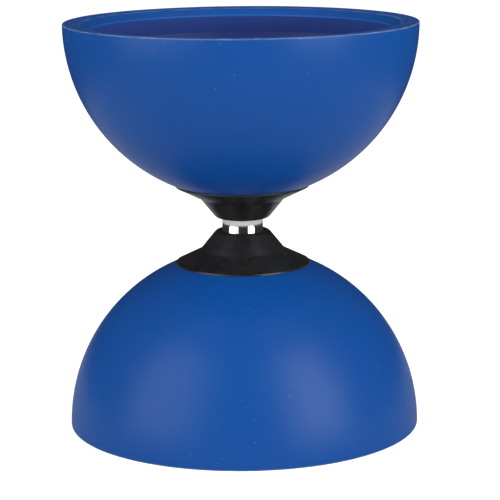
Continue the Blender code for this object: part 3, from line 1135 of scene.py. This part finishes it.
@dataclass
class ThreadedStud:
    """The stud that runs through the whole toy, threaded from end to end with chamfered ends."""

    crest: float = 3.0 * MM
    pitch: float = 1.0 * MM
    thread_depth: float = 0.5 * MM
    flank: tuple[float, float] = (0.12, 0.43)
    chamfer: float = 0.6 * MM
    steps: int = 32

    def build(self, material: bpy.types.Material) -> bpy.types.Object:
        """Builds the stud, as one tooth's profile wound up the axle and cut off at both ends.

        Args:
            material: The stud's material.

        Returns:
            The stud.
        """
        end = span_of("axle_stud")[1]
        root = self.crest - self.thread_depth
        shape = bmesh.new()
        rise, top = self.flank
        climb = [(root, 0.0), (root, rise), (self.crest, top)]
        tooth = climb + [(radius, 1 - share) for radius, share in reversed(climb)]
        low = -end - 2 * self.pitch
        points = [shape.verts.new((radius, 0.0, low + share * self.pitch)) for radius, share in tooth]
        edges = [shape.edges.new(pair) for pair in zip(points, points[1:])]
        turns = math.ceil(2 * end / self.pitch) + 3
        bmesh.ops.spin(
            shape,
            geom=points + edges,
            cent=(0, 0, 0),
            axis=(0, 0, 1),
            dvec=(0, 0, self.pitch / self.steps),
            angle=math.tau * turns,
            steps=self.steps * turns,
        )
        bmesh.ops.remove_doubles(shape, verts=shape.verts, dist=ON_EDGE)
        for outward in (Vector((0.0, 0.0, -1.0)), Vector((0.0, 0.0, 1.0))):
            cut_off(shape, outward * end, outward)
        for vertex in shape.verts:
            room = self.crest - self.chamfer + (end - abs(vertex.co.z))
            radius = math.hypot(vertex.co.x, vertex.co.y)
            if radius > room:
                vertex.co.x *= room / radius
                vertex.co.y *= room / radius
        making = Making("axle_stud_threaded", "spinning_body", ("axle_stud",), "stud_zinc")
        return finish_piece(shape, making, material, sharp=25.0)


@dataclass
class Bearing:
    """A shielded ball bearing: two grooved races, eight balls in a cage, and a shield at each end."""

    side: Side
    bore: float = 3.05 * MM
    outside: float = 6.0 * MM
    pitch_radius: float = 4.5 * MM
    shoulder: float = 0.6 * MM
    groove: float = 0.865 * MM
    start: float = 0.52 * MM
    end: float = 4.5 * MM
    middle: float = 2.5 * MM
    recess: tuple[float, float] = (5.35 * MM, 0.34 * MM)
    shield_radius: tuple[float, float] = (4.0 * MM, 5.3 * MM)
    cage_radius: tuple[float, float] = (4.275 * MM, 4.725 * MM)
    edge: float = 0.12 * MM
    shield_rounding: float = 0.04 * MM
    drill_length: float = 2.0 * MM
    steps: int = 96
    groove_steps: int = 10
    drill_steps: int = 32

    def race(self, name: str, outwards: float, body: str, material: bpy.types.Material) -> bpy.types.Object:
        """Builds one race.

        Args:
            name: The race's node name without its side.
            outwards: 1 for the outer race, -1 for the inner one.
            body: The body that it rides on.
            material: Its material.

        Returns:
            The race.
        """
        shoulder = self.pitch_radius + outwards * self.shoulder
        half = math.degrees(math.acos(self.shoulder / self.groove))
        rise = self.groove * math.sin(math.radians(half))
        back = self.outside if outwards > 0 else self.bore
        recess, depth = self.recess if outwards > 0 else (shoulder, 0.0)
        turning = Turning(back, self.end).to(back, self.start).to(recess, self.start)
        if depth:
            turning.to(recess, self.start + depth).to(shoulder, self.start + depth)
        turning.to(shoulder, self.middle - rise)
        turning.arc(self.pitch_radius, self.middle, -outwards * 2 * half, self.groove_steps)
        if depth:
            turning.to(shoulder, self.end - depth).to(recess, self.end - depth)
        turning.to(recess, self.end)
        roundings = [Rounding(back, height, self.edge, 3) for height in (self.start, self.end)]
        node = self.side.node(name)
        making = Making(f"{node}_ground", body, (node,), "race_steel")
        return finish_piece(turning.turned(self.steps, roundings), making, material, self.side)

    def shield(self, name: str, material: bpy.types.Material) -> bpy.types.Object:
        """Builds one pressed shield.

        Args:
            name: The shield's node name without its side.
            material: Its material.

        Returns:
            The shield.
        """
        node = self.side.node(name)
        low, high = span_of(Side.UPPER.node(name))
        inner, outer = self.shield_radius
        shape = turned_ring(inner, outer, low, high, self.steps, self.shield_rounding)
        making = Making(f"{node}_pressed", "string_ring", (node,), "shield_steel")
        return finish_piece(shape, making, material, self.side)

    def cage(self, material: bpy.types.Material) -> bpy.types.Object:
        """Builds the cage, a thin ring with a round pocket for each ball.

        Args:
            material: The cage's material.

        Returns:
            The cage.
        """
        node = self.side.node("bearing_cage")
        low, high = span_of(Side.UPPER.node("bearing_cage"))
        drills = bmesh.new()
        for ball in range(BALLS):
            turn = Matrix.Rotation(ball * math.tau / BALLS, 4, "Z")
            outwards = Matrix.Translation((self.pitch_radius, 0.0, self.middle))
            outwards = outwards @ Matrix.Rotation(math.pi / 2, 4, "Y")
            bmesh.ops.create_cone(
                drills,
                cap_ends=True,
                segments=self.drill_steps,
                radius1=self.groove,
                radius2=self.groove,
                depth=self.drill_length,
                matrix=turn @ outwards,
            )
        shape = pierced(turned_ring(*self.cage_radius, low, high, self.steps), drills)
        body = f"{self.side.value}_ball_set"
        making = Making(f"{node}_pierced", body, (node,), "cage_brass")
        return finish_piece(shape, making, material, self.side)

    def balls(self, material: bpy.types.Material) -> list[bpy.types.Object]:
        """Builds the balls, each where its own node is.

        Args:
            material: The balls' material.

        Returns:
            The balls.
        """
        made = []
        for count in range(1, BALLS + 1):
            node = self.side.node(f"ball_{count}")
            low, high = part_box(node)
            shape = bmesh.new()
            bmesh.ops.create_icosphere(shape, subdivisions=BALL_FINENESS, radius=(high.z - low.z) / 2)
            bmesh.ops.translate(shape, verts=shape.verts, vec=(low + high) / 2 - Vector((0, 0, MIDDLE)))
            making = Making(f"{node}_ground", f"{self.side.value}_ball_set", (node,), "ball_steel")
            made.append(finish_piece(shape, making, material))
        return made


@dataclass
class RaceSpacer:
    """The sleeve that keeps the two inner races apart."""

    bore: float = 3.05 * MM
    edge: float = 0.06 * MM
    steps: int = 96

    def build(self, material: bpy.types.Material) -> bpy.types.Object:
        """Builds the sleeve.

        Args:
            material: The sleeve's material.

        Returns:
            The sleeve.
        """
        low, high = span_of("race_spacer")
        shape = turned_ring(self.bore, reach_of("race_spacer"), low, high, self.steps, self.edge)
        making = Making("race_spacer_turned", "spinning_body", ("race_spacer",), "spacer_steel")
        return finish_piece(shape, making, material)


@dataclass
class StringRing:
    """The polished ring that the string runs on, waisted outside and ribbed inside."""

    bore: float = 6.05 * MM
    waist_dip: float = 0.35 * MM
    waist_half: float = 2.5 * MM
    waist_flare: float = 2.8
    rib_radius: float = 5.4 * MM
    rib_half: float = 0.48 * MM
    chamfer: float = 0.1 * MM
    steps: int = 192
    waist_steps: int = 20

    def build(self, material: bpy.types.Material) -> bpy.types.Object:
        """Builds the ring.

        Args:
            material: The ring's material.

        Returns:
            The ring.
        """
        end = span_of("axle_roller")[1]
        outside = reach_of("axle_roller")
        turning = Turning(self.bore, -end).to(outside, -end)
        for step in range(self.waist_steps + 1):
            height = self.waist_half * (2 * step / self.waist_steps - 1)
            dip = self.waist_dip * (1 - abs(height / self.waist_half) ** self.waist_flare)
            turning.to(outside - dip, height)
        turning.to(outside, end).to(self.bore, end).to(self.bore, self.rib_half)
        turning.to(self.rib_radius, self.rib_half).to(self.rib_radius, -self.rib_half)
        turning.to(self.bore, -self.rib_half)
        roundings = [Rounding(outside, height, self.chamfer, 3) for height in (-end, end)]
        making = Making("axle_roller_polished", "string_ring", ("axle_roller",), "ring_steel")
        return finish_piece(turning.turned(self.steps, roundings), making, material)


# ---------------------------------------------------------------- studio


@dataclass
class Softbox:
    """A rectangular light that stands upright past the table's edge, or hangs and faces the toy."""

    name: str
    azimuth: float
    distance: float
    width: float
    height: float
    brightness: float
    foot: float = -0.19
    hung_at: Optional[float] = None

    def build(self) -> None:
        """Puts up the light. Azimuth is from the camera's side, to the right, in degrees."""
        light = bpy.data.lights.new(self.name, "AREA")
        light.shape = "RECTANGLE"
        light.size = self.width
        light.size_y = self.height
        light.energy = self.brightness * math.pi * self.width * self.height
        azimuth = math.radians(self.azimuth)
        elevation = math.radians(self.hung_at or 0.0)
        level = math.cos(elevation)
        towards = Vector((math.sin(azimuth) * level, -math.cos(azimuth) * level, math.sin(elevation)))
        lamp = bpy.data.objects.new(self.name, light)
        lamp.location = towards * self.distance
        lamp.location.z += MIDDLE if self.hung_at else self.foot + self.height / 2
        lamp.rotation_mode = "QUATERNION"
        lamp.rotation_quaternion = towards.to_track_quat("Z", "Y")
        lamp.visible_camera = False
        bpy.context.scene.collection.objects.link(lamp)


@dataclass
class Viewpoint:
    """The camera: a long lens a little above the toy's middle, level apart from half a degree."""

    distance: float = 688.26 * MM
    elevation: float = 11.0
    pitch: float = 10.360
    yaw: float = 0.0921
    roll: float = -0.518
    sideways: float = 0.35 * MM
    lens: float = 144.70
    sensor: float = 36.0
    shift: tuple[float, float] = (0.0068, -0.099)

    def build(self) -> None:
        """Sets up the camera."""
        elevation, pitch, yaw, roll = map(math.radians, (self.elevation, self.pitch, self.yaw, self.roll))
        ahead = Vector((math.sin(yaw) * math.cos(pitch), math.cos(yaw) * math.cos(pitch), -math.sin(pitch)))
        right = Vector((math.cos(yaw), -math.sin(yaw), 0.0))
        up = right.cross(ahead)
        across = right * math.cos(roll) + up * math.sin(roll)
        upright = up * math.cos(roll) - right * math.sin(roll)
        camera = bpy.data.cameras.new("camera")
        camera.sensor_width = self.sensor
        camera.lens = self.lens
        camera.shift_x, camera.shift_y = self.shift
        stand = bpy.data.objects.new("camera", camera)
        place = Matrix((across, upright, -ahead)).transposed().to_4x4()
        back, over = self.distance * math.cos(elevation), self.distance * math.sin(elevation)
        place.translation = (self.sideways, -back, MIDDLE + over)
        stand.matrix_world = place
        bpy.context.scene.collection.objects.link(stand)
        bpy.context.scene.camera = stand


@dataclass
class Studio:
    """A pale floor in even light, with softboxes round the toy, and the camera.

    In the toy's reflections the floor ends like a table, so that its ring mirrors a dark room past the edge.
    """

    floor_radius: float = 3.4
    floor_colour: Colour = (0.74, 0.75, 0.755)
    floor_shade: float = 0.98
    floor_glow: float = 0.66
    floor_mirrored: float = 0.72
    table_reach: tuple[float, float] = (0.30, 0.37)
    sky: float = 0.50
    mirrored_sky: float = 0.03
    viewpoint: Viewpoint = field(default_factory=Viewpoint)
    softboxes: list[Softbox] = field(
        default_factory=lambda: [
            Softbox("left_softbox", -59.0, 1.30, 0.98, 1.80, 2.95),
            Softbox("left_fill", -31.0, 1.30, 0.34, 1.80, 1.10),
            Softbox("right_softbox", 50.0, 1.30, 0.88, 1.80, 4.75),
            Softbox("upper_left_softbox", -62.0, 0.80, 0.26, 0.20, 1.8, hung_at=73.0),
            Softbox("upper_right_softbox", 62.0, 0.80, 0.26, 0.20, 1.8, hung_at=73.0),
        ]
    )

    def floor(self) -> None:
        """Lays the floor. It can't be seen from below, and lets light up into the lower bowl."""
        shape = bmesh.new()
        bmesh.ops.create_circle(shape, cap_ends=True, segments=96, radius=self.floor_radius)
        mesh = bpy.data.meshes.new("floor")
        shape.to_mesh(mesh)
        shape.free()
        graph = Graph("pale_floor")
        seen = graph.reading("ShaderNodeLightPath", "Is Camera Ray")
        mirrored = graph.reading("ShaderNodeLightPath", "Is Glossy Ray")
        paper = graph.noise(700.0, 3.0, 0.6)
        shade = tuple(part * self.floor_shade for part in self.floor_colour)
        tint = graph.mixed((paper - 0.5) * 0.3 + 0.5, self.floor_colour, shade)
        near, far = self.table_reach
        beyond = graph.radius().from_to(near, far)
        tint = graph.mixed(mirrored * (1 - self.floor_mirrored), tint, (0.0, 0.0, 0.0))
        glow = graph.mixed(seen, (0.0, 0.0, 0.0), (1.0, 1.0, 1.0))
        graph.dress(Base_Color=tint, Roughness=0.9, Specular_IOR_Level=0.0)
        graph.dress(Emission_Color=glow, Emission_Strength=self.floor_glow)
        below = graph.reading("ShaderNodeNewGeometry", "Backfacing")
        clear = graph.add("ShaderNodeBsdfTransparent", {}, {})
        shader = graph.shader.outputs[0]
        under_toy = graph.radius().from_to(CUP_RADIUS - 0.1 * MM, CUP_RADIUS - 0.4 * MM) * (1.0 - seen)
        hidden = below.greatest(mirrored * beyond).greatest(under_toy)
        layers = {"Fac": hidden, "Shader": shader, "Shader_001": clear.outputs[0]}
        both = graph.add("ShaderNodeMixShader", {}, layers)
        graph.feed(graph.tree.nodes["Material Output"].inputs["Surface"], both.outputs[0])
        mesh.materials.append(graph.material)
        floor = bpy.data.objects.new("floor", mesh)
        bpy.context.scene.collection.objects.link(floor)

    def light(self) -> None:
        """Puts up the even light and the softboxes."""
        world = bpy.data.worlds.new("even_light")
        world.use_nodes = True
        nodes = Nodes(world.node_tree)
        mirrored = nodes.reading("ShaderNodeLightPath", "Is Glossy Ray")
        seen = nodes.reading("ShaderNodeLightPath", "Is Camera Ray")
        strength = mirrored * (self.mirrored_sky - self.sky) + seen * (1.0 - self.sky) + self.sky
        background = nodes.tree.nodes["Background"]
        nodes.feed(background.inputs["Color"], (1.0, 1.0, 1.0))
        nodes.feed(background.inputs["Strength"], strength)
        bpy.context.scene.world = world
        for softbox in self.softboxes:
            softbox.build()
        bpy.context.scene.view_settings.view_transform = "Standard"

    def build(self) -> None:
        """Sets up everything that isn't part of the toy."""
        self.floor()
        self.light()
        self.viewpoint.build()


# ---------------------------------------------------------------- the toy


class Finish(Enum):
    """Every finish of the toy. Each material is built once and shared."""

    CUP = CupRubber()
    HUB = BlackMoulding("hub_nylon")
    DISC = BlackMoulding("disc_nylon", roughness=0.48, grain=0.03 * MM)
    INSERT = LockingNylon()
    RING = TurnedMetal("ring_steel", (0.87, 0.90, 0.88), (0.66, 0.69, 0.67), 0.07, smear=0.02)
    RACE = TurnedMetal("race_steel", (0.62, 0.62, 0.61), (0.42, 0.41, 0.39), 0.16)
    BALL = TurnedMetal(
        "ball_steel", (0.72, 0.72, 0.72), (0.55, 0.54, 0.52), 0.06, ring_depth=0.0002 * MM, smear=0.02
    )
    SHIELD = TurnedMetal("shield_steel", (0.58, 0.58, 0.57), (0.40, 0.39, 0.37), 0.30)
    CAGE = TurnedMetal("cage_brass", (0.78, 0.56, 0.24), (0.44, 0.30, 0.13), 0.28)
    BUSH = TurnedMetal("bush_steel", (0.56, 0.56, 0.55), (0.36, 0.35, 0.33), 0.26)
    SPACER = TurnedMetal("spacer_steel", (0.56, 0.56, 0.55), (0.36, 0.35, 0.33), 0.24)
    WASHER = ZincPlate("washer_zinc")
    NUT = ZincPlate("nut_zinc", roughness=0.27)
    STUD = ZincPlate("stud_zinc", roughness=0.34)


@dataclass
class Diabolo:
    """The whole toy: two bowls on hubs, clamped to a stud, with a ring on two bearings between them."""

    materials: dict[Finish, bpy.types.Material] = field(
        default_factory=lambda: {finish: finish.value.material() for finish in Finish}
    )

    def build_side(self, side: Side) -> None:
        """Builds everything that is there once on each side.

        Args:
            side: The side.
        """
        material = self.materials
        Cup(side).build(material[Finish.CUP])
        Hub(side).build(material[Finish.HUB])
        fastening = Fastening(side)
        fastening.bush(material[Finish.BUSH])
        fastening.disc(material[Finish.DISC])
        fastening.washer(material[Finish.WASHER])
        fastening.nut(material[Finish.NUT])
        fastening.insert(material[Finish.INSERT])
        bearing = Bearing(side)
        bearing.race("bearing_inner_race", -1.0, "spinning_body", material[Finish.RACE])
        bearing.race("bearing_outer_race", 1.0, "string_ring", material[Finish.RACE])
        bearing.shield("inner_shield", material[Finish.SHIELD])
        bearing.shield("outer_shield", material[Finish.SHIELD])
        bearing.cage(material[Finish.CAGE])
        bearing.balls(material[Finish.BALL])

    def build(self) -> None:
        """Builds both sides, then the pieces that they share."""
        for side in Side:
            self.build_side(side)
        StringRing().build(self.materials[Finish.RING])
        ThreadedStud().build(self.materials[Finish.STUD])
        RaceSpacer().build(self.materials[Finish.SPACER])


def main() -> None:
    """Builds the studio and the toy, in order."""
    logging.basicConfig(level=logging.INFO, format="%(name)s: %(message)s")
    Studio().build()
    Diabolo().build()


if __name__ == "__main__":
    main()
